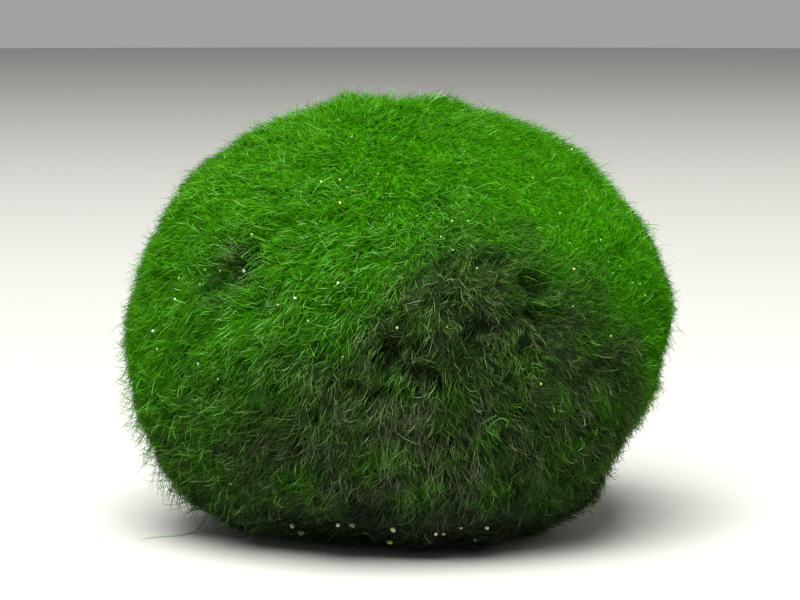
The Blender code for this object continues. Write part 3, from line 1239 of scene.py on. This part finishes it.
# How bright a filament is along its length, with painted shade towards the root deep in the fur and painted
# light at the tip, and darker with painted shade in a gap or the hollow
CLEAN_ALONG_SHADE = (
    (0.00, (0.45, 0.50, 0.45)),
    (0.45, (0.85, 0.88, 0.80)),
    (1.00, (1.30, 1.22, 1.30)),
)
DULL_ALONG_SHADE = (
    (0.00, (0.25, 0.25, 0.25)),
    (0.45, (0.75, 0.75, 0.75)),
    (1.00, (1.35, 1.30, 1.30)),
)
SHADE = (
    (0.00, (1.00, 1.00, 1.00)),
    (0.70, (0.22, 0.20, 0.20)),
    (1.00, (0.07, 0.06, 0.06)),
)
BROWN_PATCHES = (
    (0.41, (0.0, 0.0, 0.0)),
    (0.57, (1.0, 1.0, 1.0)),
)
# How much of the brown shows by how much dirt and painted shade a filament holds
BROWN_BY_DIRT_AND_SHADE = (
    (0.40, (0.0, 0.0, 0.0)),
    (0.95, (1.0, 1.0, 1.0)),
)
# Wet moss hardly shines
MOSS_GLOSS = 0.003


def filament_material():
    """Filaments: painted shade at the root and light at the tip, a few with painted sheen, olive or brown
    where dirty and shaded, grey with silt and shade.
    """
    material, tree, shader = new_material("moss_filament")
    along = add_attribute(tree, "along")
    patch = add_math(tree, "MULTIPLY", add_math(tree, "SUBTRACT", add_noise(tree, 0.9 * MM), 0.5), 0.40)
    tone = add_math(tree, "ADD", add_attribute(tree, "tone"), patch)
    dirt_and_shade = add_attribute(tree, "dirt_and_shade")
    brown = add_ramp(tree, add_noise(tree, 6.0 * MM, 2.0), BROWN_PATCHES)
    brown = add_product(tree, brown, add_ramp(tree, dirt_and_shade, BROWN_BY_DIRT_AND_SHADE))
    brown = add_math(tree, "MULTIPLY", brown, add_attribute(tree, "brown"))
    clean = add_product(tree, add_ramp(tree, tone, CLEAN_TONES), add_ramp(tree, along, CLEAN_ALONG_SHADE))
    dirty_and_shaded = add_mix(tree, brown, add_ramp(tree, tone, OLIVE_TONES), add_ramp(tree, tone, BROWN_TONES))
    dirty_and_shaded = add_product(tree, dirty_and_shaded, add_ramp(tree, along, DULL_ALONG_SHADE))
    colour = add_mix(tree, dirt_and_shade, clean, dirty_and_shaded)
    colour = add_mix(tree, add_attribute(tree, "silt_and_shade"), colour, add_ramp(tree, tone, SILT_AND_SHADE_TONES))
    colour = add_product(tree, colour, add_ramp(tree, add_attribute(tree, "shade"), SHADE))
    tree.links.new(colour, shader.inputs["Base Color"])
    rough = add_math(tree, "ADD", add_math(tree, "MULTIPLY", add_noise(tree, 0.5 * MM), 0.35), 0.40)
    tree.links.new(rough, shader.inputs["Roughness"])
    shader.inputs["Specular IOR Level"].default_value = MOSS_GLOSS
    return material


FELT_CLEAN = (
    (0.30, (0.006, 0.048, 0.0004)),
    (0.70, (0.018, 0.105, 0.0010)),
)
# Felt that is dirty and darkened with painted shade
FELT_DIRTY_AND_SHADED = (
    (0.30, (0.007, 0.012, 0.005)),
    (0.70, (0.018, 0.030, 0.011)),
)
# Felt with grey silt, darkened with painted shade at the foot
FELT_SILT_AND_SHADE = (
    (0.30, (0.006, 0.007, 0.006)),
    (0.70, (0.015, 0.018, 0.015)),
)
# Threads matted into the felt: the size of their curls, their width as a share of it, and a shift
FELT_THREADS = ((0.9 * MM, 0.030, 0.0), (0.7 * MM, 0.035, 0.013), (1.2 * MM, 0.024, 0.029))
THREAD_LIGHT = (
    (0.0, (0.62, 0.62, 0.60)),
    (1.0, (2.20, 2.10, 2.10)),
)
# Painted light: the felt is lighter where the fur is soft, so that little shade shows between the filaments
# there
SOFT_LIGHT = (
    (0.0, (1.0, 1.0, 1.0)),
    (1.0, (1.15, 1.15, 1.0)),
)


def felt_material():
    """The felt between the filaments: matted threads over a soft dull ground, with painted light where the
    fur is soft and painted shade where dirty, in gaps, in pits and with silt.
    """
    material, tree, shader = new_material("moss_felt")
    spots = add_noise(tree, 0.5 * MM, 5.0)
    dirt_and_shade = add_attribute(tree, "dirt_and_shade")
    threads = 0.0
    for size, width, shift in FELT_THREADS:
        threads = add_math(tree, "MAXIMUM", add_threads(tree, size, width, shift), threads)
    colour = add_mix(tree, dirt_and_shade, add_ramp(tree, spots, FELT_CLEAN), add_ramp(tree, spots, FELT_DIRTY_AND_SHADED))
    colour = add_mix(tree, add_attribute(tree, "silt_and_shade"), colour, add_ramp(tree, spots, FELT_SILT_AND_SHADE))
    colour = add_product(tree, colour, add_ramp(tree, threads, THREAD_LIGHT))
    colour = add_product(tree, colour, add_ramp(tree, add_attribute(tree, "soft"), SOFT_LIGHT))
    colour = add_product(tree, colour, add_ramp(tree, add_attribute(tree, "shade"), SHADE))
    tree.links.new(colour, shader.inputs["Base Color"])
    add_bump(tree, shader, add_math(tree, "ADD", threads, spots), 0.6, 0.12 * MM)
    shader.inputs["Roughness"].default_value = 0.95
    shader.inputs["Specular IOR Level"].default_value = MOSS_GLOSS
    return material


GRAIN_TONES = (
    (0.0, (0.56, 0.64, 0.46)),
    (0.2, (0.20, 0.36, 0.13)),
    (0.4, (0.40, 0.39, 0.22)),
    (0.6, (0.27, 0.34, 0.06)),
    (0.8, (0.27, 0.15, 0.04)),
    (1.0, (0.15, 0.18, 0.12)),
)


def grain_material():
    """Sand grains: pale quartz, cream, yellow, orange and grey, with darker veins."""
    material, tree, shader = new_material("sand_grain")
    tone = add_ramp(tree, add_attribute(tree, "tone"), GRAIN_TONES)
    veins = add_ramp(tree, add_noise(tree, 0.3 * MM), ((0.35, (0.55, 0.52, 0.45)), (0.60, (1.0, 1.0, 1.0))))
    tree.links.new(add_product(tree, tone, veins), shader.inputs["Base Color"])
    add_bump(tree, shader, add_noise(tree, 0.1 * MM), 0.4, 0.04 * MM)
    shader.inputs["Roughness"].default_value = 0.35
    return material


# Stage


def make_floor():
    """A plain pale floor."""
    mesh = bpy.data.meshes.new("floor")
    bm = bmesh.new()
    bmesh.ops.create_circle(bm, cap_ends=True, segments=96, radius=2.5)
    bm.to_mesh(mesh)
    bm.free()
    floor = put("floor", mesh)
    material, tree, shader = new_material("pale_floor")
    shader.inputs["Base Color"].default_value = (0.37, 0.36, 0.35, 1.0)
    shader.inputs["Roughness"].default_value = 0.8
    mesh.materials.append(material)


def make_lamp(name, place, size, power, colour):
    """A soft square lamp that faces the ball."""
    data = bpy.data.lights.new(name, "AREA")
    data.shape = "SQUARE"
    data.size = size
    data.energy = power
    data.color = colour
    lamp = put(name, data)
    lamp.location = place
    lamp.rotation_mode = "QUATERNION"
    lamp.rotation_quaternion = (Vector(MIDDLE) - Vector(place)).to_track_quat("-Z", "Y")


def make_light():
    """A large lamp above and in front, a weak one behind to the right, and pale surroundings."""
    make_lamp("lamp_above", (-0.15, -0.62, 1.22), 1.0, 71.0, (0.98, 1.0, 0.96))
    make_lamp("lamp_behind", (0.90, 0.64, 0.44), 0.5, 2.0, (1.0, 1.0, 0.80))
    world = bpy.data.worlds.new("pale_surroundings")
    world.use_nodes = True
    background = world.node_tree.nodes["Background"]
    background.inputs["Color"].default_value = (0.82, 0.82, 0.82, 1.0)
    background.inputs["Strength"].default_value = 0.44
    bpy.context.scene.world = world
    bpy.context.scene.view_settings.view_transform = "Standard"


def make_camera():
    """The camera of the photo."""
    data = bpy.data.cameras.new("camera")
    data.sensor_width = SENSOR_WIDTH
    data.lens = FOCAL_PIXELS / IMAGE_WIDTH * SENSOR_WIDTH
    data.clip_start = 0.01
    data.clip_end = 20.0
    camera = put("camera", data)
    camera.location = CAMERA_PLACE
    camera.rotation_mode = "QUATERNION"
    camera.rotation_quaternion = (-CAMERA_WAY).to_track_quat("-Z", "Y")
    bpy.context.scene.camera = camera


def main():
    """Make every piece, then the stage."""
    moss = filament_material()
    make_felt(felt_material())
    make_filaments("filaments", LONG, 11, moss)
    make_filaments("undercoat", SHORT, 12, moss)
    make_halo(moss)
    make_strays(moss)
    make_grains(grain_material())
    make_floor()
    make_light()
    make_camera()


main()
